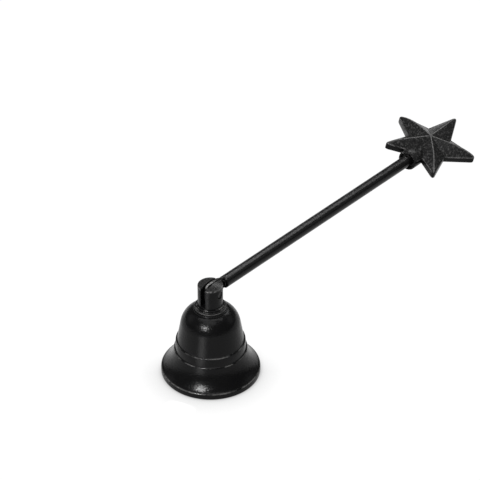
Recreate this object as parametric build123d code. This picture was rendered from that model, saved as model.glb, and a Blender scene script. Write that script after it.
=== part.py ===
from build123d import *
import math
import os

# A cast candle snuffer: a heavy bell that stands on its mouth, a slotted post screwed through
# its crown, and a tubular handle with a star finial that swings on a pin in the post's slot.
# Millimetres. The origin is the centre of the bell's mouth, +Z is the bell's axis and the
# handle lies towards +X. At rest the handle's tongue lies on its stop, the slot's front lip.

# Bell, outside, from the rim up
mouth_radius = 20.0
rim_height = 2.4
rim_ledge = 0.65
ledge_rise = 0.35
flare_rise = 8.75
flare_top_radius = 14.75
flare_sag = 0.8
band_ledge = 0.55
band_rise = 3.75
band_taper = 0.2
dome_ledge = 0.6
dome_wall_rise = 8.05
dome_wall_taper = 1.4
dome_cap_rise = 6.6
boss_foot_height = 0.7
boss_collar_height = 0.7
boss_collar_width = 0.35
boss_foot_width = 0.35
boss_step = 0.15
rim_round = 0.4
ledge_round = 0.15

# Bell, cavity
rim_width = 5.3
cavity_lip = 0.6
cavity_sag = 0.9
waist_height = 13.5
waist_wall = 5.0
neck_height = 18.0
neck_wall = 5.8
crown_thickness = 10.0
roof_margin = 1.0

# Post with its flange, slot and spigot
post_radius = 5.05
post_top_rise = 3.9
post_edge_drop = 0.9
post_edge_chamfer = 0.25
bead_width = 0.6
bead_height = 0.65
flange_width = 0.5
flange_height = 0.7
flange_chamfer = 0.2
slot_width = 2.3
slot_depth = 5.2
slot_lip_run = 2.0
spigot_radius = 2.5
spigot_clearance = 0.15
spigot_overhang = 0.7
spigot_chamfer = 0.4

# Washer and nut that hold the post in the crown, inside the bell
washer_radius = 5.0
washer_thickness = 1.0
nut_across_flats = 8.0
nut_height = 4.0
nut_chamfer = 0.5
thread_clearance = 0.05

# Pivot pin
pivot_rise = 5.85
pin_radius = 1.5
pin_end_recess = 0.3
pin_end_chamfer = 0.3
pin_seat_clearance = 0.02
pin_running_clearance = 0.06

# Tongue of the handle
handle_drop = 5.7
stop_gap = 0.05
tongue_thickness = 1.8
tongue_half_height = 3.7
tongue_back = 3.3
tongue_corner = 1.4
tongue_knee = 4.4
tongue_neck_half_height = 2.3
shank_length = 9.0
shank_chamfer = 0.35

# Handle tube
rod_start = 8.6
rod_radius = 2.5
rod_wall = 0.75
rod_chamfer = 0.3
rod_seat_depth = 5.8
rod_seat_clearance = 0.1

# Star finial
star_distance = 157.3
star_radius = 22.0
star_valley_share = 0.455
star_edge = 2.95
star_rise = 4.4
star_tip_round = 1.2
# share of the star's size, share of its rise: the arms stay full and fall away near their tips
star_level_shares = ((0.95, 0.17), (0.87, 0.38), (0.75, 0.63), (0.55, 0.86), (0.3, 0.97))
# the star sits a little askew on the tube: rolled about it, its tip raised, and turned in its plane
star_roll = 11.5
star_tilt = 3.2
star_turn = 3.5
star_points = 5
socket_wall = 1.6
socket_length = 7.5
socket_inset = 4.6
socket_chamfer = 0.5
socket_recess_depth = 1.2
socket_recess_wall = 0.75

# Stud that screws the star to the tube
stud_in_rod = 9.0
stud_in_star = 6.0
stud_chamfer = 0.3

# Cuts run past the faces that they open by this much
overrun = 1.0

bead_radius = post_radius + bead_width
flange_radius = bead_radius + flange_width
boss_collar_radius = flange_radius + boss_collar_width
boss_foot_radius = boss_collar_radius + boss_foot_width
dome_top_radius = boss_foot_radius + boss_step
band_foot_radius = flare_top_radius - band_ledge
band_top_radius = band_foot_radius - band_taper
dome_foot_radius = band_top_radius - dome_ledge
dome_waist_radius = dome_foot_radius - dome_wall_taper
cavity_mouth_radius = mouth_radius - rim_width
cavity_roof_radius = washer_radius + roof_margin

flare_foot_height = rim_height + ledge_rise
flare_top_height = flare_foot_height + flare_rise
band_foot_height = flare_top_height + ledge_rise
band_top_height = band_foot_height + band_rise
dome_foot_height = band_top_height + ledge_rise
dome_waist_height = dome_foot_height + dome_wall_rise
dome_top_height = dome_waist_height + dome_cap_rise
boss_step_height = dome_top_height + boss_foot_height
boss_top_height = boss_step_height + boss_collar_height
cavity_roof_height = boss_top_height - crown_thickness
flange_top_height = boss_top_height + flange_height
bead_top_height = flange_top_height + bead_height
pivot_height = bead_top_height + pivot_rise
post_top_height = pivot_height + post_top_rise
slot_floor_height = pivot_height - slot_depth
tongue_slope = (tongue_half_height - tongue_neck_half_height) / (rod_start - tongue_knee)

shank_radius = rod_radius - rod_wall - thread_clearance
socket_radius = rod_radius + socket_wall
socket_mouth = star_distance - star_radius * star_valley_share - socket_length
rod_end = socket_mouth + rod_seat_depth
drop = math.radians(handle_drop)
# the slot's front lip meets the sloping underside of the tongue
lip_depth = ((tongue_half_height + stop_gap + tongue_knee * tongue_slope
              + post_radius * (math.sin(drop) - tongue_slope * math.cos(drop)))
             / (math.cos(drop) + tongue_slope * math.sin(drop)))
slot_lip_height = pivot_height - lip_depth

on_handle = Location((0, 0, pivot_height)) * Rotation(0, handle_drop, 0)
along_x = Rotation(0, 90, 0)


def cylinder_up(radius, low, high):
    # A cylinder on the bell's axis between two heights
    return Pos(0, 0, low) * Cylinder(radius, high - low, align=(Align.CENTER, Align.CENTER, Align.MIN))


def cylinder_along(radius, start, end):
    # A cylinder on the handle's axis between two distances from the pivot
    upright = Cylinder(radius, end - start, align=(Align.CENTER, Align.CENTER, Align.MIN))
    return Pos(start, 0, 0) * along_x * upright


def rings(solid, radius, height):
    # The round edges of one radius that lie at one height on the bell's axis
    near = overrun / 100
    return [edge for edge in solid.edges().filter_by(GeomType.CIRCLE)
            if abs(edge.radius - radius) < near and abs(edge.arc_center.Z - height) < near]


def end_rings(solid, radius, distance):
    # The round edges of one radius that lie at one distance along the handle
    near = overrun / 100
    return [edge for edge in solid.edges().filter_by(GeomType.CIRCLE)
            if abs(edge.radius - radius) < near and abs(edge.arc_center.X - distance) < near]


def snuffer_bell():
    # Outline of half the bell's section: rim, flare, band, dome and boss, then back down the cavity
    flare_foot = (mouth_radius - rim_ledge, flare_foot_height)
    flare_top = (flare_top_radius, flare_top_height)
    dome_foot = (dome_foot_radius, dome_foot_height)
    dome_waist = (dome_waist_radius, dome_waist_height)
    dome_top = (dome_top_radius, dome_top_height)
    bore_radius = spigot_radius + spigot_clearance
    roof_edge = (cavity_roof_radius, cavity_roof_height)
    neck = (dome_foot_radius - neck_wall, neck_height)
    waist = (band_top_radius - waist_wall, waist_height)
    lip = (cavity_mouth_radius, cavity_lip)
    with BuildPart() as bell:
        with BuildSketch(Plane.XZ):
            with BuildLine():
                Polyline((cavity_mouth_radius, 0), (mouth_radius, 0),
                         (mouth_radius, rim_height), flare_foot)
                SagittaArc(flare_foot, flare_top, flare_sag)
                Polyline(flare_top, (band_foot_radius, band_foot_height),
                         (band_top_radius, band_top_height), dome_foot, dome_waist)
                TangentArc(dome_waist, dome_top, tangent=(-dome_wall_taper, dome_wall_rise))
                Polyline(dome_top, (boss_foot_radius, dome_top_height),
                         (boss_foot_radius, boss_step_height), (boss_collar_radius, boss_step_height),
                         (boss_collar_radius, boss_top_height),
                         (bore_radius, boss_top_height), (bore_radius, cavity_roof_height), roof_edge)
                TangentArc(neck, roof_edge, tangent=(neck[0] - waist[0], neck_height - waist_height))
                Line(neck, waist)
                SagittaArc(waist, lip, -cavity_sag)
                Line(lip, (cavity_mouth_radius, 0))
            make_face()
        revolve(axis=Axis.Z)
    solid = bell.part
    solid = fillet(rings(solid, mouth_radius, 0) + rings(solid, mouth_radius, rim_height), rim_round)
    return fillet(rings(solid, flare_top_radius, flare_top_height)
                  + rings(solid, band_top_radius, band_top_height)
                  + rings(solid, boss_foot_radius, boss_step_height)
                  + rings(solid, boss_collar_radius, boss_top_height), ledge_round)


def post_body():
    # The post above the boss: a low domed top, straight flanks and a stepped foot
    shoulder = post_top_height - post_edge_drop
    with BuildPart() as body:
        with BuildSketch(Plane.XZ):
            with BuildLine():
                Polyline((0, post_top_height), (0, boss_top_height), (flange_radius, boss_top_height),
                         (flange_radius, flange_top_height), (bead_radius, flange_top_height),
                         (bead_radius, bead_top_height), (post_radius, bead_top_height),
                         (post_radius, shoulder))
                TangentArc((0, post_top_height), (post_radius, shoulder), tangent=(post_radius, 0))
            make_face()
        revolve(axis=Axis.Z)
    solid = chamfer(rings(body.part, flange_radius, flange_top_height)
                    + rings(body.part, bead_radius, bead_top_height), flange_chamfer)
    return chamfer(rings(solid, post_radius, shoulder), post_edge_chamfer)


def slot_cut():
    # The saw cut for the tongue: a flat floor that climbs to the lip that stops the handle
    reach = post_radius + overrun
    climb = (slot_lip_height - slot_floor_height) / slot_lip_run
    top = post_top_height + overrun
    with BuildSketch(Plane.XZ) as side:
        with BuildLine():
            Polyline((-reach, slot_floor_height), (post_radius - slot_lip_run, slot_floor_height),
                     (reach, slot_lip_height + climb * overrun), (reach, top), (-reach, top), close=True)
        make_face()
    return extrude(side.sketch, slot_width / 2, both=True)


def pivot_fork():
    spigot_end = cavity_roof_height - washer_thickness - nut_height - spigot_overhang
    spigot = cylinder_up(spigot_radius, spigot_end, boss_top_height)
    spigot = chamfer(rings(spigot, spigot_radius, spigot_end), spigot_chamfer)
    pin_hole = Pos(0, 0, pivot_height) * Rotation(90, 0, 0) * Cylinder(
        pin_radius + pin_seat_clearance, 2 * (post_radius + overrun))
    return post_body() + spigot - slot_cut() - pin_hole


def crown_washer():
    low = cavity_roof_height - washer_thickness
    disc = cylinder_up(washer_radius, low, cavity_roof_height)
    return disc - cylinder_up(spigot_radius + spigot_clearance, low - overrun, cavity_roof_height + overrun)


def crown_nut():
    high = cavity_roof_height - washer_thickness
    low = high - nut_height
    corner_radius = nut_across_flats / 2 / math.cos(math.pi / 6)
    prism = Pos(0, 0, low) * extrude(RegularPolygon(corner_radius, 6), nut_height)
    turned = chamfer(rings(cylinder_up(corner_radius, low, high), corner_radius, low), nut_chamfer)
    return (prism & turned) - cylinder_up(spigot_radius + thread_clearance, low - overrun, high + overrun)


def pivot_pin():
    length = 2 * (post_radius - pin_end_recess)
    pin = Cylinder(pin_radius, length)
    pin = chamfer(pin.edges().filter_by(GeomType.CIRCLE), pin_end_chamfer)
    return Pos(0, 0, pivot_height) * Rotation(90, 0, 0) * pin


def handle_tongue():
    # A flat plate with a tall eye that turns in the slot, and a threaded shank inside the tube
    outline = [(-tongue_back, tongue_half_height), (tongue_knee, tongue_half_height),
               (rod_start, tongue_neck_half_height), (rod_start, -tongue_neck_half_height),
               (tongue_knee, -tongue_half_height), (-tongue_back, -tongue_half_height)]
    with BuildSketch(Plane.XZ) as side:
        with BuildLine():
            Polyline(*outline, close=True)
        make_face()
        fillet(side.vertices().group_by(Axis.X)[0], tongue_corner)
    plate = extrude(side.sketch, tongue_thickness / 2, both=True)
    shank_end = rod_start + shank_length
    shank = cylinder_along(shank_radius, rod_start, shank_end)
    shank = chamfer(end_rings(shank, shank_radius, shank_end), shank_chamfer)
    pin_bore = Rotation(90, 0, 0) * Cylinder(pin_radius + pin_running_clearance,
                                             tongue_thickness + 2 * overrun)
    return on_handle * (plate + shank - pin_bore)


def handle_rod():
    tube = cylinder_along(rod_radius, rod_start, rod_end)
    tube = chamfer(end_rings(tube, rod_radius, rod_start)
                   + end_rings(tube, rod_radius, rod_end), rod_chamfer)
    bore = cylinder_along(rod_radius - rod_wall, rod_start - overrun, rod_end + overrun)
    return on_handle * (tube - bore)


def star_outline():
    # The flat star, one tip pointing away from the handle, with rounded tips
    half_step = math.pi / star_points
    corners = []
    for index in range(2 * star_points):
        reach = star_radius if index % 2 == 0 else star_radius * star_valley_share
        corners.append((reach * math.cos(index * half_step), reach * math.sin(index * half_step)))
    flat = make_face(Polyline(*corners, close=True))
    valley_reach = star_radius * star_valley_share
    tips = [corner for corner in flat.vertices() if math.hypot(corner.X, corner.Y) > valley_reach + overrun]
    return fillet(tips, star_tip_round)


def star_finial():
    outline = star_outline()
    slab = Pos(0, 0, -star_edge / 2) * extrude(outline, star_edge)
    top = star_edge / 2
    levels = [(1, 0), *star_level_shares]
    rims = [(Pos(0, 0, top + star_rise * rise_share) * scale(outline, by=size_share)).face().outer_wire()
            for size_share, rise_share in reversed(levels)]
    facets = Solid.make_loft([*reversed(rims), Vertex(0, 0, top + star_rise)], ruled=True)
    pose = Rotation(star_roll, 0, 0) * Rotation(0, -star_tilt, 0) * Rotation(0, 0, star_turn)
    star = Pos(star_distance, 0, 0) * pose * (slab + facets)
    socket_end = star_distance - socket_inset
    socket = cylinder_along(socket_radius, socket_mouth, socket_end)
    socket = chamfer(end_rings(socket, socket_radius, socket_mouth)
                     + end_rings(socket, socket_radius, socket_end), socket_chamfer)
    recess = cylinder_along(socket_radius - socket_recess_wall, socket_mouth - overrun,
                            socket_mouth + socket_recess_depth)
    rod_seat = cylinder_along(rod_radius + rod_seat_clearance, socket_mouth - overrun, rod_end)
    stud_hole = cylinder_along(shank_radius + thread_clearance, socket_mouth, rod_end + stud_in_star)
    return on_handle * (star + socket - recess - rod_seat - stud_hole)


def star_stud():
    start = rod_end - stud_in_rod
    end = rod_end + stud_in_star
    stud = cylinder_along(shank_radius, start, end)
    stud = chamfer(end_rings(stud, shank_radius, start) + end_rings(stud, shank_radius, end), stud_chamfer)
    return on_handle * stud


def folded_limit():
    # How far the handle swings from its rest, up and over, until its tongue meets the slot's floor
    low = 0.0
    high = math.pi / 4
    while high - low > overrun / 10000:
        middle = (low + high) / 2
        along = post_radius * math.cos(middle) + slot_depth * math.sin(middle)
        across = slot_depth * math.cos(middle) - post_radius * math.sin(middle)
        edge = tongue_half_height - (along - tongue_knee) * tongue_slope
        low, high = (middle, high) if edge + stop_gap < across else (low, middle)
    return handle_drop + 180 + math.degrees(low)


pieces = {
    "snuffer_bell": snuffer_bell,
    "pivot_fork": pivot_fork,
    "crown_washer": crown_washer,
    "crown_nut": crown_nut,
    "pivot_pin": pivot_pin,
    "handle_tongue": handle_tongue,
    "handle_rod": handle_rod,
    "star_stud": star_stud,
    "star_finial": star_finial,
}

os.makedirs("parts", exist_ok=True)
for node, make_piece in pieces.items():
    piece = make_piece()
    export_step(piece, f"parts/{node}.step")
    print(node, "volume", round(piece.volume, 1), "solids", len(piece.solids()))
print("slot lip at", round(slot_lip_height, 3), "handle swings", round(folded_limit(), 2))
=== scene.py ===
import bmesh
import bpy
import math
from mathutils import Matrix, Vector


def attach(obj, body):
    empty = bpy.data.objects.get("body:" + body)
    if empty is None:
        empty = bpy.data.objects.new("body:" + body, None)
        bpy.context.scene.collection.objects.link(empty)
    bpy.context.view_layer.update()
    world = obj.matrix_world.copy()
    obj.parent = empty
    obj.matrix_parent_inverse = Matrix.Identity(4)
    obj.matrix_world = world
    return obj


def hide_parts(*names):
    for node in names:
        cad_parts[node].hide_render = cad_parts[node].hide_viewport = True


# A black cast candle snuffer on a white table: a bell, a slotted post, a hinged tube and a star.
# The dictionaries hold millimetres and degrees unless a note says otherwise.

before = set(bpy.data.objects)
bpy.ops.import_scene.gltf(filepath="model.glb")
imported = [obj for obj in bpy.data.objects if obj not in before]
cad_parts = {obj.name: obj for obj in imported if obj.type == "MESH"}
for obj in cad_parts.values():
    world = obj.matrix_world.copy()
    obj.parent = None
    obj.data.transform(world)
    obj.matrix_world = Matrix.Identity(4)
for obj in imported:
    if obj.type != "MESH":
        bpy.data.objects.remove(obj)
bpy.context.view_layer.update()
mm = 0.001
hair = 0.001            # in mm; places nearer than this count as one
fullTurn = math.tau


# Drawing half sections, turning them and putting pieces in the scene

def startLine(mesh, across, up):
    return mesh.verts.new((across * mm, 0, up * mm))


def lineTo(mesh, last, *points):
    # carries a line on through the points, each one across and up in the XZ plane
    for across, up in points:
        following = mesh.verts.new((across * mm, 0, up * mm))
        mesh.edges.new((last, following))
        last = following
    return last


def arcTo(mesh, last, point, bulge, steps):
    # swings the last vertex to the point, on an arc whose middle stands bulge off the chord
    chord = Vector((point[0] * mm, 0, point[1] * mm)) - last.co
    half = chord.length / 2
    sag = abs(bulge) * mm
    side = Vector((-chord.z, 0, chord.x)).normalized() * math.copysign(1, bulge)
    radius = (half ** 2 + sag ** 2) / (2 * sag)
    middle = last.co + chord / 2 - side * (radius - sag)
    sweep = math.copysign(2 * math.asin(half / radius), bulge)
    spun = bmesh.ops.spin(mesh, geom=[last], cent=middle, axis=(0, 1, 0), angle=sweep, steps=steps)
    return next(part for part in spun["geom_last"] if isinstance(part, bmesh.types.BMVert))


def turnRound(mesh, steps):
    # spins everything drawn so far once round Z and closes the seam and the poles
    bmesh.ops.spin(mesh, geom=mesh.verts[:] + mesh.edges[:], cent=(0, 0, 0), axis=(0, 0, 1),
                   angle=fullTurn, steps=steps, use_merge=True)
    bmesh.ops.remove_doubles(mesh, verts=mesh.verts, dist=2 * hair * mm)
    loose = [edge for edge in mesh.edges if not edge.link_faces]
    bmesh.ops.delete(mesh, geom=loose, context="EDGES")
    bmesh.ops.recalc_face_normals(mesh, faces=mesh.faces)


def turned(points, steps):
    # a solid of revolution from its half section, given as distance from Z and height
    mesh = bmesh.new()
    last = startLine(mesh, *points[0])
    lineTo(mesh, last, *points[1:])
    turnRound(mesh, steps)
    return mesh


def hoop(mesh, radius, height, slack=0.02):
    # the edges of the ring of one radius at one height
    found = []
    for edge in mesh.edges:
        ends = [vertex.co / mm for vertex in edge.verts]
        if all(abs(end.z - height) < slack and abs(end.xy.length - radius) < slack for end in ends):
            found.append(edge)
    return found


def roundOff(mesh, edges, width, segments=3):
    bmesh.ops.bevel(mesh, geom=edges, affect="EDGES", offset=width * mm, offset_type="OFFSET",
                    segments=segments, profile=0.5, material=-1, clamp_overlap=True)


def newCorners(grown):
    # the vertices among what an extrusion has made
    return [part for part in grown["geom"] if isinstance(part, bmesh.types.BMVert)]


def crossBar(radius, length, height=0, segments=48):
    # a round bar along Y that crosses the Z axis at a height, to cut a hole with
    mesh = bmesh.new()
    bmesh.ops.create_cone(mesh, cap_ends=True, segments=segments, radius1=radius * mm,
                          radius2=radius * mm, depth=length * mm)
    mesh.transform(Matrix.Rotation(math.pi / 2, 4, "X"))
    mesh.transform(Matrix.Translation((0, 0, height * mm)))
    return mesh


def combine(mesh, tool, operation):
    # one boolean between two closed meshes; both objects go away again and the result comes back
    pair = []
    for part in (mesh, tool):
        data = bpy.data.meshes.new("part")
        part.to_mesh(data)
        part.free()
        pair.append(bpy.data.objects.new("part", data))
        bpy.context.scene.collection.objects.link(pair[-1])
    cut = pair[0].modifiers.new("cut", "BOOLEAN")
    cut.operation = operation
    cut.solver = "EXACT"
    cut.object = pair[1]
    result = bmesh.new()
    ready = pair[0].evaluated_get(bpy.context.evaluated_depsgraph_get())
    result.from_mesh(ready.to_mesh())
    for part in pair:
        data = part.data
        bpy.data.objects.remove(part)
        bpy.data.meshes.remove(data)
    bmesh.ops.remove_doubles(result, verts=result.verts, dist=2 * hair * mm)
    return result


def finished(mesh, name, body, stands, look, crease=34):
    # turns the bmesh into an object that rides on its body and stands for its CAD nodes
    data = bpy.data.meshes.new(name)
    bmesh.ops.recalc_face_normals(mesh, faces=mesh.faces)
    mesh.to_mesh(data)
    mesh.free()
    crisp = [edge.index for edge in data.edges if edge.use_edge_sharp]
    data.shade_smooth()
    data.set_sharp_from_angle(angle=math.radians(crease))
    for index in crisp:
        data.edges[index].use_edge_sharp = True
    piece = bpy.data.objects.new(name, data)
    bpy.context.scene.collection.objects.link(piece)
    data.materials.append(look)
    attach(piece, body)
    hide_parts(*stands)
    print(name, len(data.polygons), "faces")


# Finishes

class Shade:
    # wraps a socket, so that sums on shader values read as arithmetic
    def __init__(self, finish, socket):
        self.finish = finish
        self.socket = socket

    def sum(self, operation, *values, clamp=False):
        settings = {"operation": operation, "use_clamp": clamp}
        return self.finish.node("ShaderNodeMath", settings, dict(enumerate(values)))

    def __add__(self, other):
        return self.sum("ADD", self, other)

    def __sub__(self, other):
        return self.sum("SUBTRACT", self, other)

    def __mul__(self, other):
        return self.sum("MULTIPLY", self, other)

    def __truediv__(self, other):
        return self.sum("DIVIDE", self, other)

    def __pow__(self, other):
        return self.sum("POWER", self, other)

    def __rsub__(self, other):
        return self.sum("SUBTRACT", other, self)

    def __abs__(self):
        return self.sum("ABSOLUTE", self)

    __radd__ = __add__
    __rmul__ = __mul__

    def clamped(self):
        return self.sum("ADD", self, 0, clamp=True)

    def near(self, value, width):
        # 1 at the value, down to 0 at width to either side
        return (1 - abs(self - value) / width).clamped()


class Finish:
    def __init__(self, name):
        self.material = bpy.data.materials.new(name)
        self.material.use_nodes = True
        self.tree = self.material.node_tree
        self.tree.nodes.clear()
        self.place = self.node("ShaderNodeTexCoord", {}, {}, "Object")

    def node(self, kind, settings, sockets, output=0):
        # settings come first, then each socket gets its value or its link
        made = self.tree.nodes.new(kind)
        for key, value in settings.items():
            setattr(made, key, value)
        for key, value in sockets.items():
            if isinstance(value, Shade):
                self.tree.links.new(value.socket, made.inputs[key])
            else:
                made.inputs[key].default_value = value
        return Shade(self, made.outputs[output]) if made.outputs else None

    def axes(self, place):
        return [self.node("ShaderNodeSeparateXYZ", {}, {"Vector": place}, axis) for axis in "XYZ"]

    def noise(self, size, detail=2):
        # soft noise with lumps of about the given size in mm, from 0 to 1 round 0.5
        return self.node("ShaderNodeTexNoise", {}, {"Vector": self.place, "Scale": 1 / (size * mm),
                                                    "Detail": detail, "Roughness": 0.5})

    def patches(self, size, start, contrast, detail=2):
        # noise cut off below a start and made stronger by a contrast, so that it leaves patches
        return ((self.noise(size, detail) - start) * contrast).clamped()

    def between(self, factor, first, second):
        # a colour mixed from two, each a plain colour or a shade; the sockets are by number
        plain = [(*colour, 1) if isinstance(colour, tuple) else colour for colour in (first, second)]
        return self.node("ShaderNodeMix", {"data_type": "RGBA"}, {0: factor, 6: plain[0], 7: plain[1]}, 2)

    def shaderOut(self, shader):
        self.node("ShaderNodeOutputMaterial", {}, {"Surface": shader})
        return self.material


blackPaint = {
    "colour": (0.0022, 0.0022, 0.0023), "darkest": 0.7, "palest": 1.35,     # shares of the colour
    # the paler colour of rubbed paint and of painted highlights
    "wearAndHighlightColour": (0.050, 0.049, 0.049),
    "roughness": 0.24,
    "roughnessSpread": 0.14,
    "reflection": 0.10,     # specular level, well under a plain gloss paint's 0.5
    "grainSize": 0.75,
    "grainDepth": 0.075,
    "lumpSize": 2.6,
    "lumpDepth": 0.05,
    "patchSize": 9,
    "wearAndHighlightGloss": 0.10,
    "wearAndHighlightCover": 0.85,
    "wearAndHighlightContrast": 1.5,    # how far the grain breaks up the paler places, rubbed paint and painted highlights
}


def paintedMetal(name, wearAndHighlightAt=None, **changes):
    # near-black paint over a fine casting skin; wearAndHighlightAt gives the mask of places painted paler,
    # for rubbed paint and for painted highlights and painted light
    look = {**blackPaint, **changes}
    finish = Finish(name)
    grain = finish.noise(look["grainSize"], detail=3)
    lumps = finish.noise(look["lumpSize"])
    patches = finish.noise(look["patchSize"])
    wearAndHighlight = wearAndHighlightAt(finish) if wearAndHighlightAt else 0
    # the mask marks rubbed paint together with painted highlights and painted light on tops
    rubbedAndLit = (wearAndHighlight * ((grain - 0.5) * look["wearAndHighlightContrast"] + look["wearAndHighlightCover"])).clamped()
    tone = (patches * 0.5 + grain * 0.5).clamped()
    dark, pale = [tuple(channel * share for channel in look["colour"])
                  for share in (look["darkest"], look["palest"])]
    # random tone, then the paler colour where rubbed paint and painted highlights are
    colour = finish.between(rubbedAndLit, finish.between(tone, dark, pale), look["wearAndHighlightColour"])
    rough = (look["roughness"] + (grain - 0.5) * look["roughnessSpread"]
             + (lumps - 0.5) * look["roughnessSpread"] - rubbedAndLit * look["wearAndHighlightGloss"])
    height = grain * (look["grainDepth"] * mm) + lumps * (look["lumpDepth"] * mm)
    bump = finish.node("ShaderNodeBump", {}, {"Strength": 1, "Distance": 1, "Height": height})
    shader = finish.node("ShaderNodeBsdfPrincipled", {}, {
        "Base Color": colour,
        "Roughness": rough,
        "Metallic": 0,
        "Specular IOR Level": look["reflection"],
        "Normal": bump,
    })
    return finish.shaderOut(shader)


# Bell

bell = {
    "mouth": 20.0, "rimHeight": 2.4,
    "flareFoot": (19.35, 2.75), "flareTop": (14.75, 11.5), "flareBulge": 0.8, "flareSteps": 18,
    "bandFoot": (14.2, 11.85), "bandTop": (14.0, 15.6),
    "domeFoot": (13.4, 15.95), "domeWaist": (12.0, 24.0),
    "domeTop": (7.0, 30.6), "domeBulge": -1.005, "domeSteps": 16,
    "bossFoot": 6.85, "bossStep": 31.3, "boss": 6.5, "bossTop": 32.0,
    "bore": 2.65, "roof": 22.0, "roofEdge": 6.0,
    "neck": (7.6, 18.0), "neckBulge": 0.085, "neckSteps": 4,
    "waist": (9.0, 13.5), "cavityBulge": -0.9, "cavitySteps": 12,
    "cavityMouth": 14.7, "cavityLip": 0.6,
    "rimRound": 0.4, "ledgeRound": 0.22,
    "steps": 160,
    "ledgeHighlight": 0.22, "rimHighlight": 0.3, "bossHighlight": 0.2,    # half widths of the painted highlight lines
    "wearAndHighlightPatches": (5, 0.38, 5),     # size, start and contrast; some pieces add the noise's detail
    "look": {"roughness": 0.22, "wearAndHighlightGloss": 0.14, "wearAndHighlightColour": (0.075, 0.074, 0.073)},
}


def bellHighlights(finish):
    # painted highlight lines, in patches, along the rim's shoulder, both ledges and the boss
    height = finish.axes(finish.place)[2] / mm
    lines = (height.near(bell["flareTop"][1], bell["ledgeHighlight"])
             + height.near(bell["bandTop"][1], bell["ledgeHighlight"])
             + height.near(bell["rimHeight"], bell["rimHighlight"])
             + height.near(bell["bossTop"], bell["bossHighlight"]))
    return (lines * finish.patches(*bell["wearAndHighlightPatches"])).clamped()


def makeBell():
    mesh = bmesh.new()
    first = startLine(mesh, bell["cavityMouth"], 0)
    last = lineTo(mesh, first, (bell["mouth"], 0), (bell["mouth"], bell["rimHeight"]), bell["flareFoot"])
    last = arcTo(mesh, last, bell["flareTop"], bell["flareBulge"], bell["flareSteps"])
    last = lineTo(mesh, last, bell["bandFoot"], bell["bandTop"], bell["domeFoot"], bell["domeWaist"])
    last = arcTo(mesh, last, bell["domeTop"], bell["domeBulge"], bell["domeSteps"])
    last = lineTo(mesh, last, (bell["bossFoot"], bell["domeTop"][1]), (bell["bossFoot"], bell["bossStep"]),
                  (bell["boss"], bell["bossStep"]), (bell["boss"], bell["bossTop"]),
                  (bell["bore"], bell["bossTop"]), (bell["bore"], bell["roof"]),
                  (bell["roofEdge"], bell["roof"]))
    last = arcTo(mesh, last, bell["neck"], bell["neckBulge"], bell["neckSteps"])
    last = lineTo(mesh, last, bell["waist"])
    last = arcTo(mesh, last, (bell["cavityMouth"], bell["cavityLip"]), bell["cavityBulge"],
                 bell["cavitySteps"])
    mesh.edges.new((last, first))
    turnRound(mesh, bell["steps"])
    roundOff(mesh, hoop(mesh, bell["mouth"], 0) + hoop(mesh, bell["mouth"], bell["rimHeight"]),
             bell["rimRound"], segments=4)
    edges = [bell["flareTop"], bell["bandTop"], (bell["bossFoot"], bell["bossStep"]),
             (bell["boss"], bell["bossTop"])]
    roundOff(mesh, [edge for ring in edges for edge in hoop(mesh, *ring)], bell["ledgeRound"])
    look = paintedMetal("castBlackBell", bellHighlights, **bell["look"])
    finished(mesh, "castBell", "bell", ["snuffer_bell"], look)


makeBell()


# Post with its slot

post = {
    "foot": 32.0, "flange": 6.15, "flangeTop": 32.7, "bead": 5.65, "beadTop": 33.35, "stepRound": 0.2,
    "radius": 5.05, "top": 43.1, "edgeDrop": 0.9, "edgeRound": 0.25, "brimAngle": 40,
    "slotFloor": 34.0, "slotLip": 35.268, "lipRun": 2.0, "slotWidth": 2.3,
    "pivot": 39.2, "pinHole": 1.52,
    "spigot": 2.5, "spigotEnd": 16.3, "spigotRound": 0.4,
    "steps": 96, "strips": 14, "rows": 4,
    "topHighlight": 0.16, "stepHighlight": 0.8,             # shares of full painted highlight, on the ears' tops and the foot's steps
    "edgeWearAndHighlight": (0.5, 0.6), "stepHighlightWidth": 0.2,     # half widths across and up
    "highlightDrop": 0.1, "wearAndHighlightSlope": 4,
    "edgePatches": (2.2, 0.35, 4), "stepPatches": (2.2, 0.5, 5),
    "look": {"roughness": 0.28, "wearAndHighlightContrast": 3, "wearAndHighlightColour": (0.08, 0.079, 0.078)},
}


def postWearAndHighlights(finish):
    # painted light: the ears' tops are painted paler all over, with painted highlight and some rubbed
    # paint along their brim, and the foot's steps carry painted highlight lines in patches
    x, y, z = finish.axes(finish.place)
    height = z / mm
    out = (x * x + y * y) ** 0.5 / mm
    shoulder = post["top"] - post["edgeDrop"]
    edge = out.near(post["radius"], post["edgeWearAndHighlight"][0]) * height.near(shoulder, post["edgeWearAndHighlight"][1])
    top = ((height - shoulder + post["highlightDrop"]) * post["wearAndHighlightSlope"]).clamped()
    steps = (height.near(post["flangeTop"] - post["highlightDrop"], post["stepHighlightWidth"])
             + height.near(post["beadTop"] - post["highlightDrop"], post["stepHighlightWidth"]))
    return (top * post["topHighlight"] + steps * finish.patches(*post["stepPatches"]) * post["stepHighlight"]
            + edge * finish.patches(*post["edgePatches"])).clamped()


def crownHeight(out):
    # height of the post's domed top at a distance from its axis
    ball = (post["radius"] ** 2 + post["edgeDrop"] ** 2) / (2 * post["edgeDrop"])
    return post["top"] - ball + math.sqrt(ball ** 2 - out ** 2)


def topFaces(mesh, height, slack=0.1, level=0.9):
    # the faces that look up from a height, with their edges and vertices for a cut
    found = [face for face in mesh.faces if face.normal.z > level
             and abs(face.calc_center_median().z / mm - height) < slack]
    parts = dict.fromkeys(found)
    for face in found:
        parts.update(dict.fromkeys(face.edges))
        parts.update(dict.fromkeys(face.verts))
    return found, list(parts)


def partAlong(mesh, height, place, across):
    # parts the faces that look up from a height, along a line at one place on X or Y
    side = Vector((0, 1, 0)) if across else Vector((1, 0, 0))
    bmesh.ops.bisect_plane(mesh, geom=topFaces(mesh, height)[1], plane_co=side * place * mm,
                           plane_no=side, dist=hair * mm / 10)


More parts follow.
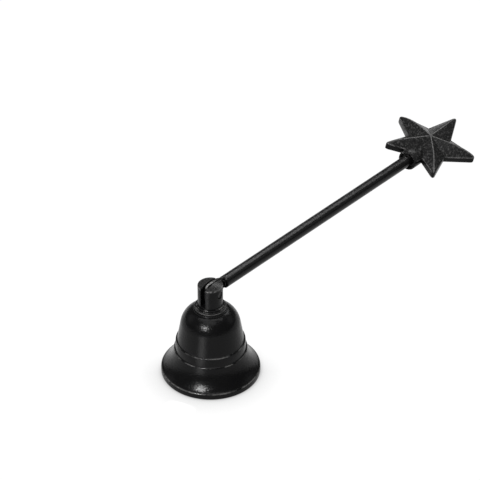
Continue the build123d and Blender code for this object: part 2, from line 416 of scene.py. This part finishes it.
def lathedPost():
    # the post up to the slot's floor, closed there by a flat disc
    mesh = bmesh.new()
    last = startLine(mesh, 0, post["spigotEnd"])
    lineTo(mesh, last, (post["spigot"] - post["spigotRound"], post["spigotEnd"]),
           (post["spigot"], post["spigotEnd"] + post["spigotRound"]), (post["spigot"], post["foot"]),
           (post["flange"], post["foot"]), (post["flange"], post["flangeTop"]),
           (post["bead"], post["flangeTop"]), (post["bead"], post["beadTop"]),
           (post["radius"], post["beadTop"]), (post["radius"], post["slotFloor"]))
    turnRound(mesh, post["steps"])
    steps = (hoop(mesh, post["flange"], post["flangeTop"]) + hoop(mesh, post["bead"], post["beadTop"]))
    roundOff(mesh, steps, post["stepRound"])
    bmesh.ops.contextual_create(mesh, geom=hoop(mesh, post["radius"], post["slotFloor"]))
    mesh.normal_update()
    return mesh


def raiseEars(mesh, floor, shoulder, half):
    # the disc is parted along the slot: its middle is the floor, its sides rise as the ears
    for side in (half, -half):
        partAlong(mesh, floor, side, True)
    partAlong(mesh, floor, post["radius"] - post["lipRun"], False)
    ears = [face for face in topFaces(mesh, floor)[0] if abs(face.calc_center_median().y) > half * mm]
    lifted = newCorners(bmesh.ops.extrude_face_region(mesh, geom=ears))
    bmesh.ops.delete(mesh, geom=ears, context="FACES_ONLY")
    bmesh.ops.translate(mesh, verts=lifted, vec=(0, 0, (shoulder - floor) * mm))
    mesh.normal_update()


def domeEars(mesh, floor, shoulder, half):
    # strips both ways across the ears' tops carry the dome, and the slot's floor climbs to its lip
    for step in range(1, post["strips"]):
        partAlong(mesh, shoulder, (2 * step / post["strips"] - 1) * post["radius"], False)
    for step in range(1, post["rows"]):
        out = half + (post["radius"] - half) * step / post["rows"]
        partAlong(mesh, shoulder, out, True)
        partAlong(mesh, shoulder, -out, True)
    climb = (post["slotLip"] - floor) / post["lipRun"]
    crown = set()
    for vertex in mesh.verts:
        place = vertex.co / mm
        if abs(place.z - shoulder) < hair:
            crown.add(vertex)
            vertex.co.z = crownHeight(place.xy.length) * mm
        elif abs(place.z - floor) < hair and abs(place.y) < half + hair:
            vertex.co.z += max(0, place.x - post["radius"] + post["lipRun"]) * climb * mm
    bmesh.ops.recalc_face_normals(mesh, faces=mesh.faces)
    mesh.normal_update()
    return crown


def makePost():
    floor, half = post["slotFloor"], post["slotWidth"] / 2
    shoulder = post["top"] - post["edgeDrop"]
    mesh = lathedPost()
    raiseEars(mesh, floor, shoulder, half)
    crown = domeEars(mesh, floor, shoulder, half)
    # the ears' outer brim is rounded, and their edges along the slot stay sharp
    steep = math.radians(post["brimAngle"])
    brim = [edge for edge in mesh.edges if set(edge.verts) <= crown and edge.calc_face_angle(0) > steep
            and any(abs(abs(vertex.co.y) / mm - half) >= hair for vertex in edge.verts)]
    roundOff(mesh, brim, post["edgeRound"])
    hole = crossBar(post["pinHole"], 4 * post["radius"], post["pivot"])
    mesh = combine(mesh, hole, "DIFFERENCE")
    look = paintedMetal("blackPost", postWearAndHighlights, **post["look"])
    finished(mesh, "slottedPost", "bell", ["pivot_fork"], look, crease=30)


makePost()


# Pivot pin

pin = {
    "radius": 1.5, "halfLength": 4.75, "round": 0.3, "steps": 48,
    "dish": 0.12, "dishShares": (0.55, 0.8),    # depth, and its flat and its edge as shares of the end
    "look": {"roughness": 0.34},
}


def makePin():
    end = pin["halfLength"]
    flat = pin["radius"] - pin["round"]
    inner, outer = [flat * share for share in pin["dishShares"]]
    half = [(0, end - pin["dish"]), (inner, end - pin["dish"]), (outer, end),
            (flat, end), (pin["radius"], end - pin["round"])]
    mesh = turned(half + [(out, -up) for out, up in reversed(half)], pin["steps"])
    mesh.transform(Matrix.Translation((0, 0, post["pivot"] * mm)) @ Matrix.Rotation(math.pi / 2, 4, "X"))
    look = paintedMetal("blackPin", **pin["look"])
    finished(mesh, "pivotPin", "bell", ["pivot_pin"], look)


makePin()


# Handle: the tongue and the tube, both made along +X from the pivot

handle = {"drop": 5.7, "pivot": post["pivot"]}
handleFrame = (Matrix.Translation((0, 0, handle["pivot"] * mm))
               @ Matrix.Rotation(math.radians(handle["drop"]), 4, "Y"))

tongue = {
    "halfHeight": 3.7, "back": 3.3, "corner": 2.2, "knee": 4.4, "neck": 2.3, "front": 8.6,
    "thickness": 1.4, "lean": 0.07,     # it leans a little towards the far ear
    "edgeRound": 0.3, "cornerSteps": 8, "bore": 1.56,
    "shank": 1.7, "shankRoot": 1.0, "shankEnd": 17.6, "shankRound": 0.35, "shankSteps": 64,
    # where the top edge is painted paler, for rubbed paint and painted highlight
    "wearAndHighlightDepth": 1.3, "wearAndHighlightInset": 0.7, "wearAndHighlightSlope": 6,    # the inset is a share of the rounding
    "wearAndHighlightEnd": 3.2, "wearAndHighlightFade": 2.5, "wearAndHighlightLeast": 0.3,
    "wearAndHighlightPatches": (1.6, 0.05, 2),
    "look": {"roughness": 0.30, "wearAndHighlightColour": (0.14, 0.138, 0.136), "wearAndHighlightContrast": 3},
}


def laidAlong(mesh):
    # turns a piece made round +Z so that its axis is the handle's own
    mesh.transform(Matrix.Rotation(math.pi / 2, 4, "Y"))
    return mesh


def tongueWearAndHighlight(finish):
    # the top edge is painted paler, for rubbed paint and painted highlight, most where it sweeps between
    # the ears and less towards the tube
    x, y, z = finish.axes(finish.place)
    top = (z / mm).near(handle["pivot"] + tongue["halfHeight"], tongue["wearAndHighlightDepth"])
    halfWidth = tongue["thickness"] / 2 - tongue["edgeRound"] * tongue["wearAndHighlightInset"]
    flat = ((halfWidth - abs(y / mm - tongue["lean"])) * tongue["wearAndHighlightSlope"]).clamped()
    fade = ((tongue["wearAndHighlightEnd"] - x / mm) / tongue["wearAndHighlightFade"]).clamped()
    cover = fade * (1 - tongue["wearAndHighlightLeast"]) + tongue["wearAndHighlightLeast"]
    return (top * flat * cover * finish.patches(*tongue["wearAndHighlightPatches"])).clamped()


def makeTongue():
    plate = bmesh.new()
    edge = [(-tongue["back"], -tongue["halfHeight"]), (tongue["knee"], -tongue["halfHeight"]),
            (tongue["front"], -tongue["neck"])]
    corners = edge + [(across, -up) for across, up in reversed(edge)]
    near = tongue["lean"] - tongue["thickness"] / 2
    side = plate.faces.new([plate.verts.new((across * mm, near * mm, up * mm))
                            for across, up in corners])
    back = [vertex for vertex in side.verts if vertex.co.x < 0]
    bmesh.ops.bevel(plate, geom=back, affect="VERTICES", offset=tongue["corner"] * mm,
                    segments=tongue["cornerSteps"], profile=0.5, material=-1)
    moved = newCorners(bmesh.ops.extrude_face_region(plate, geom=plate.faces[:]))
    bmesh.ops.translate(plate, verts=moved, vec=(0, tongue["thickness"] * mm, 0))
    bmesh.ops.recalc_face_normals(plate, faces=plate.faces)
    long = [edge for edge in plate.edges if abs(edge.verts[0].co.y - edge.verts[1].co.y) < hair * mm]
    roundOff(plate, long, tongue["edgeRound"])
    low, high, cut = tongue["front"] - tongue["shankRoot"], tongue["shankEnd"], tongue["shankRound"]
    shank = turned([(0, low), (tongue["shank"], low), (tongue["shank"], high - cut),
                    (tongue["shank"] - cut, high), (0, high)], tongue["shankSteps"])
    mesh = combine(plate, laidAlong(shank), "UNION")
    mesh = combine(mesh, crossBar(tongue["bore"], 4 * tongue["thickness"]), "DIFFERENCE")
    mesh.transform(handleFrame)
    look = paintedMetal("blackTongue", tongueWearAndHighlight, **tongue["look"])
    finished(mesh, "flatTongue", "handle", ["handle_tongue"], look, crease=30)


rod = {
    "start": 8.6, "end": 145.59, "radius": 2.5, "bore": 1.75, "round": 0.3,
    "steps": 72, "stations": 24,
    # the tube's top band is painted highlight, broken into patches
    "highlightHeight": 1.7, "wearAndHighlightSlope": 1.2, "wearAndHighlightPatches": (1.0, 0.42, 1.8, 3),
    "look": {"grainDepth": 0.05, "lumpDepth": 0.02, "wearAndHighlightContrast": 2},
}


def rodTopHighlight(finish):
    # a painted highlight along the top of the tube, in patches
    x, _, z = finish.axes(finish.place)
    height = (z - handle["pivot"] * mm + x * math.tan(math.radians(handle["drop"]))) / mm
    return ((height - rod["highlightHeight"]) * rod["wearAndHighlightSlope"]).clamped() * finish.patches(*rod["wearAndHighlightPatches"])


def makeRod():
    low, high, cut = rod["start"], rod["end"], rod["round"]
    spacing = (high - low - 2 * cut) / rod["stations"]
    outside = [(rod["radius"], low + cut + spacing * step) for step in range(rod["stations"] + 1)]
    section = [(rod["bore"], low), (rod["radius"] - cut, low), *outside,
               (rod["radius"] - cut, high), (rod["bore"], high), (rod["bore"], low)]
    mesh = laidAlong(turned(section, rod["steps"]))
    mesh.transform(handleFrame)
    look = paintedMetal("blackTube", rodTopHighlight, **rod["look"])
    finished(mesh, "handleTube", "handle", ["handle_rod"], look)


makeTongue()
makeRod()


# Star

star = {
    "distance": 157.3, "roll": 11.5, "tilt": 3.2, "turn": 3.5,
    "radius": 22.0, "valleyShare": 0.455, "points": 5,
    "edge": 2.95, "rise": 4.4, "edgeRound": 0.5, "rimAngle": 30,
    "tipRound": 2.8, "tipSteps": 6, "valleyRound": 0.25, "valleySteps": 2,
    "slope": 1.5, "fullness": 3.6,      # the arms' height falls slowly at first and fast near the edge
    "levels": (0.92, 0.85, 0.77, 0.69, 0.60, 0.49, 0.37, 0.24, 0.12),
    # the casting is a little uneven: warped, its middle off centre, and some tips longer or shorter
    "dish": 1.14, "warp": 1.73, "warpBearing": -17.6,
    "apex": (-0.38, 0.57), "tips": {0: 0.4, 144: 0.95, -144: 0.5, -72: -0.4},
    "socket": 4.35, "socketMouth": 139.79, "socketEnd": 145.9, "socketRound": 0.4, "socketSteps": 72,
    "root": 2.4, "rootEnd": 152.7, "recess": 3.35, "recessDepth": 1.2, "recessRound": 0.18,
    "seat": 2.6, "seatEnd": 145.59, "stud": 1.75, "studEnd": 151.59, "overrun": 1.0,
    "ridgeWearAndHighlight": 0.34, "edgeWearAndHighlight": 0.45, "edgeWearAndHighlightDrop": 0.1, "wearAndHighlightSlope": 2,
    "speckleShare": 0.26, "topLightShare": 0.07, "edgeShare": 0.9,      # shares of the full paler colour, painted light with some rubbed paint
    "speckles": (0.9, 0.5, 6, 3), "edgePatches": (3, 0.3, 3),
    "look": {"roughness": 0.24, "reflection": 0.085, "grainDepth": 0.09,
             "wearAndHighlightColour": (0.10, 0.099, 0.098), "wearAndHighlightContrast": 2},
}
halfStep = math.pi / star["points"]     # from a ridge to the next crease, in radians
starTurn = (Matrix.Rotation(math.radians(star["roll"]), 4, "X")
            @ Matrix.Rotation(math.radians(-star["tilt"]), 4, "Y")
            @ Matrix.Rotation(math.radians(star["turn"]), 4, "Z"))
starPlace = Matrix.Translation((star["distance"] * mm, 0, 0)) @ starTurn
starFrame = handleFrame @ starPlace


def starHeight(share, crease=0):
    # height over the star's middle plane at a share of its size: 1 at the outline, 0 at the middle;
    # crease is 0 on an arm's ridge and 1 midway between two arms, where the fall is even
    full = star["slope"] * share + (star["rise"] - star["slope"]) * share ** star["fullness"]
    fall = full + (star["rise"] * share - full) * crease
    return star["edge"] / 2 + star["rise"] - fall


def starWearAndHighlights(finish):
    # painted light on the star's top faces, found in the star's own axes: pale ridges and a pale upper
    # edge, painted highlights with some rubbed paint, and pale speckles and an even pale tint over the
    # faces above the wall
    local = finish.node("ShaderNodeMapping", {"vector_type": "TEXTURE"},
                        {"Vector": finish.place, "Location": starFrame.translation,
                         "Rotation": starFrame.to_euler("XYZ")})
    x, y, z = finish.axes(local)
    share = (x * x + y * y) ** 0.5 / (star["radius"] * mm)
    around = (x.sum("ARCTAN2", y, x) - math.radians(star["warpBearing"])) * 2
    lift = (around.sum("COSINE", around) * star["warp"] + star["dish"]) * share * share
    up = z / mm - lift - star["edge"] / 2
    inward = (1 - share / star["valleyShare"]).clamped()
    x, y = [value / mm - inward * shift for value, shift in zip((x, y), star["apex"])]
    reach = (x * x + y * y) ** 0.5
    bearing = x.sum("ARCTAN2", y, x)
    fromRidge = bearing.sum("PINGPONG", bearing, halfStep)
    ridge = (reach * fromRidge.sum("SINE", fromRidge)).near(0, star["ridgeWearAndHighlight"])
    # only the faces above the wall get the painted light
    above = (up * star["wearAndHighlightSlope"]).clamped()
    speckle = finish.patches(*star["speckles"]) * star["speckleShare"]
    edge = up.near(-star["edgeWearAndHighlightDrop"], star["edgeWearAndHighlight"]) * finish.patches(*star["edgePatches"])
    return (above * (ridge + speckle + star["topLightShare"]) + edge * star["edgeShare"]).clamped()


def starBlank():
    # the flat star: a ten-cornered face whose every second corner is drawn in to a valley
    mesh = bmesh.new()
    bmesh.ops.create_circle(mesh, cap_ends=True, segments=2 * star["points"], radius=star["radius"] * mm)
    mesh.verts.ensure_lookup_table()
    turnBack = math.atan2(mesh.verts[0].co.y, mesh.verts[0].co.x)
    bmesh.ops.rotate(mesh, verts=mesh.verts, cent=(0, 0, 0), matrix=Matrix.Rotation(-turnBack, 3, "Z"))
    valleys = [vertex for vertex in mesh.verts
               if round(math.atan2(vertex.co.y, vertex.co.x) / halfStep) % 2]
    bmesh.ops.scale(mesh, verts=valleys, vec=(star["valleyShare"],) * 3)
    middle = star["radius"] * mm * (1 + star["valleyShare"]) / 2
    for outer, width, segments in ((True, star["tipRound"], star["tipSteps"]),
                                   (False, star["valleyRound"], star["valleySteps"])):
        corners = [vertex for vertex in mesh.verts if (vertex.co.length > middle) == outer]
        bmesh.ops.bevel(mesh, geom=corners, affect="VERTICES", offset=width * mm, segments=segments,
                        profile=0.5, material=-1)
    bmesh.ops.translate(mesh, verts=mesh.verts, vec=(0, 0, -star["edge"] / 2 * mm))
    return mesh


def climbArms(mesh):
    # pulls the wall up from the star's back, then climbs inwards along the arms, ring after ring
    face = mesh.faces[:][0]
    if face.normal.z < 0:
        face.normal_flip()
    last = 1.0
    for place, share in enumerate((1.0, *star["levels"])):
        grown = bmesh.ops.extrude_face_region(mesh, geom=[face])
        if place:       # all but the first face, the star's back, were only steps on the way up
            bmesh.ops.delete(mesh, geom=[face], context="FACES_ONLY")
        face = next(part for part in grown["geom"] if isinstance(part, bmesh.types.BMFace))
        bmesh.ops.scale(mesh, verts=face.verts, vec=(share / last, share / last, 1))
        for vertex in face.verts:
            turn = math.atan2(vertex.co.y, vertex.co.x) / halfStep
            vertex.co.z = starHeight(share, abs(math.remainder(turn, 2))) * mm
        last = share
    top = bmesh.ops.poke(mesh, faces=[face])["verts"]
    top[0].co.z = starHeight(0) * mm
    bmesh.ops.recalc_face_normals(mesh, faces=mesh.faces)


def keepCrisp(mesh, level, middle=0.1, slack=0.02):
    # marks the ridges and the creases between the arms as sharp, however flat they are
    for edge in mesh.edges:
        turns = [math.atan2(vertex.co.y, vertex.co.x) / halfStep for vertex in edge.verts
                 if vertex.co.xy.length > middle * mm]
        oneRay = len({round(turn) for turn in turns}) == 1
        radial = oneRay and all(abs(turn - round(turn)) < slack for turn in turns)
        edge.smooth = not (radial and min(vertex.co.z for vertex in edge.verts) > level - hair * mm)


def roundRim(mesh, level):
    # rounds the upper and lower edge of the star's wall
    rim = [edge for edge in mesh.edges if edge.calc_face_angle(0) > math.radians(star["rimAngle"])
           and all(abs(abs(vertex.co.z) - level) < hair * mm for vertex in edge.verts)
           and edge.verts[0].co.z * edge.verts[1].co.z > 0]
    roundOff(mesh, rim, star["edgeRound"])


def warpCasting(mesh):
    for vertex in mesh.verts:
        share = vertex.co.xy.length / mm / star["radius"]
        bearing = math.atan2(vertex.co.y, vertex.co.x)
        around = 2 * (bearing - math.radians(star["warpBearing"]))
        shift = Vector((0, 0, (star["dish"] + star["warp"] * math.cos(around)) * share ** 2))
        for tip, longer in star["tips"].items():
            away = abs(math.remainder(bearing - math.radians(tip), fullTurn)) / halfStep
            shift += vertex.co.normalized() * (longer * share ** 2 * max(0, 1 - away))
        if vertex.co.z > 0:
            shift += Vector((*star["apex"], 0)) * max(0, 1 - share / star["valleyShare"])
        vertex.co += shift * mm


def starSocket():
    # the round socket with its root in the star, made round +Z
    low, high, cut = star["socketMouth"], star["socketEnd"], star["socketRound"]
    bite = cut * (1 - math.sqrt(0.5))
    return turned([(0, low), (star["socket"] - cut, low), (star["socket"] - bite, low + bite),
                   (star["socket"], low + cut), (star["socket"], high - cut),
                   (star["socket"] - bite, high - bite), (star["socket"] - cut, high),
                   (star["root"], high), (star["root"], star["rootEnd"]), (0, star["rootEnd"])],
                  star["socketSteps"])


def socketBore():
    # what the socket is hollowed with: a shallow recess, the tube's seat and the stud's hole
    low, lip, over = star["socketMouth"], star["recessRound"], star["overrun"]
    return turned([(0, low - over), (star["recess"] + lip + over, low - over),
                   (star["recess"] + lip, low), (star["recess"], low + lip),
                   (star["recess"], low + star["recessDepth"]), (star["seat"], low + star["recessDepth"]),
                   (star["seat"], star["seatEnd"]), (star["stud"], star["seatEnd"]),
                   (star["stud"], star["studEnd"]), (0, star["studEnd"])], star["socketSteps"])


def makeStar():
    mesh = starBlank()
    climbArms(mesh)
    level = star["edge"] / 2 * mm
    keepCrisp(mesh, level)
    roundRim(mesh, level)
    warpCasting(mesh)
    mesh.transform(starPlace)
    mesh = combine(mesh, laidAlong(starSocket()), "UNION")
    mesh = combine(mesh, laidAlong(socketBore()), "DIFFERENCE")
    mesh.transform(handleFrame)
    look = paintedMetal("blackStar", starWearAndHighlights, **star["look"])
    finished(mesh, "castStar", "handle", ["star_finial"], look, crease=24)


makeStar()


# CAD nodes that keep their shape

fixingLook = paintedMetal("blackFixing", roughness=0.46, grainDepth=0.008)
for node in ("crown_washer", "crown_nut", "star_stud"):
    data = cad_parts[node].data
    if not data.materials:
        data.materials.append(fixingLook)
    for place in range(len(data.materials)):
        data.materials[place] = fixingLook
print("fixings painted")


# Table, light and camera

table = {
    "size": 4.0,                                    # metres
    "glow": 0.98, "lit": 0.03, "bounce": 0.55,      # shares of white
    "contactReach": 16, "contactDepth": 0.95, "contactSamples": 16,
    "contactBearing": -142, "contactFade": 16, "contactMiddle": 0.85,
    "glare": 5.0, "glareBearing": 191, "glareSpread": 14, "glareStart": 24, "glareEnd": 260,
}


def distanceTowards(x, y, bearing):
    # how far in mm a place lies from the Z axis, measured towards a bearing
    angle = math.radians(bearing)
    return (x * math.cos(angle) + y * math.sin(angle)) / mm


def makeTable():
    mesh = bmesh.new()
    bmesh.ops.create_grid(mesh, x_segments=1, y_segments=1, size=table["size"] / 2)
    data = bpy.data.meshes.new("whiteTable")
    mesh.to_mesh(data)
    mesh.free()
    piece = bpy.data.objects.new("whiteTable", data)
    bpy.context.scene.collection.objects.link(piece)
    finish = Finish("whiteTable")
    plain, lit = [finish.node("ShaderNodeBsdfDiffuse", {}, {"Color": (*(share,) * 3, 1)})
                  for share in (table["bounce"], table["lit"])]
    # the key lamp's glare on the table: a wedge that points at the lamp
    x, y, _ = finish.axes(finish.place)
    along = distanceTowards(x, y, table["glareBearing"])
    aside = abs(distanceTowards(x, y, table["glareBearing"] + 90))
    halfWidth = along.sum("MAXIMUM", along, 1) * math.tan(math.radians(table["glareSpread"]))
    wedge = (1 - aside / halfWidth).clamped()
    reach = (along / table["glareStart"] - 1).clamped() * (2 - along * 2 / table["glareEnd"]).clamped()
    # the shade close to whatever stands on the table, which the back light leaves on one side
    near = finish.node("ShaderNodeAmbientOcclusion", {"samples": table["contactSamples"]},
                       {"Distance": table["contactReach"] * mm}, "AO")
    side = (distanceTowards(x, y, table["contactBearing"]) / table["contactFade"]
            + table["contactMiddle"]).clamped()
    contact = (1 - near) * side * table["contactDepth"]
    strength = table["glow"] * (1 - contact) + wedge * reach * table["glare"]
    glow = finish.node("ShaderNodeEmission", {}, {"Color": (1, 1, 1, 1), "Strength": strength})
    seen = finish.node("ShaderNodeAddShader", {}, {0: lit, 1: glow})
    # the camera, gloss and glass meet a white table, and everything else a plain pale one
    camera, gloss, glass = [finish.node("ShaderNodeLightPath", {}, {}, f"Is {kind} Ray")
                            for kind in ("Camera", "Glossy", "Transmission")]
    path = (camera + gloss + glass).clamped()
    data.materials.append(finish.shaderOut(
        finish.node("ShaderNodeMixShader", {}, {0: path, 1: plain, 2: seen})))


makeTable()

lamps = {
    # name: bearing from +X, height angle, distance, width and depth in metres, watts
    "keyPanel": (191, 38.5, 1.1, 0.20, 0.20, 19.0),
    "topPanel": (38, 88, 1.3, 1.60, 0.42, 9.0),
    "frontPanel": (-150, 69, 1.3, 0.90, 0.40, 3.5),
    "leftPanel": (110, 28, 1.2, 0.60, 0.60, 0.6),
    "rightPanel": (-40, 28, 1.2, 0.60, 0.60, 0.6),
    "backPanel": (12, 42, 1.3, 1.00, 0.36, 7.5),
}
aim = Vector((30, 0, 20)) * mm
skyLight = 0.12         # share of white

for name, (bearing, climb, distance, width, depth, watts) in lamps.items():
    lamp = bpy.data.lights.new(name, "AREA")
    lamp.shape = "DISK" if width == depth else "RECTANGLE"
    lamp.size, lamp.size_y = width, depth
    lamp.energy = watts
    holder = bpy.data.objects.new(name, lamp)
    bearing, climb = math.radians(bearing), math.radians(climb)
    away = Vector((math.cos(bearing) * math.cos(climb), math.sin(bearing) * math.cos(climb),
                   math.sin(climb)))
    holder.location = aim + away * distance
    holder.rotation_euler = away.to_track_quat("Z", "Y").to_euler()
    bpy.context.scene.collection.objects.link(holder)

sky = bpy.data.worlds.new("studio")
bpy.context.scene.world = sky
sky.use_nodes = True
sky.node_tree.nodes["Background"].inputs["Color"].default_value = (1, 1, 1, 1)
sky.node_tree.nodes["Background"].inputs["Strength"].default_value = skyLight

view = {
    "place": (-721.45, -554.70, 725.3), "target": (77.68, 43.47, 0.0),
    "lens": 216.3, "sensor": 36.0,
    "clip": (0.01, 50),     # metres
}
camera = bpy.data.objects.new("camera", bpy.data.cameras.new("camera"))
camera.data.lens = view["lens"]
camera.data.sensor_width = view["sensor"]
camera.data.clip_start, camera.data.clip_end = view["clip"]
camera.location = Vector(view["place"]) * mm
towards = camera.location - Vector(view["target"]) * mm
camera.rotation_euler = towards.to_track_quat("Z", "Y").to_euler()
bpy.context.scene.collection.objects.link(camera)
bpy.context.scene.camera = camera
bpy.context.scene.view_settings.view_transform = "Standard"
print("table, lamps and camera placed")

bpy.context.view_layer.update()
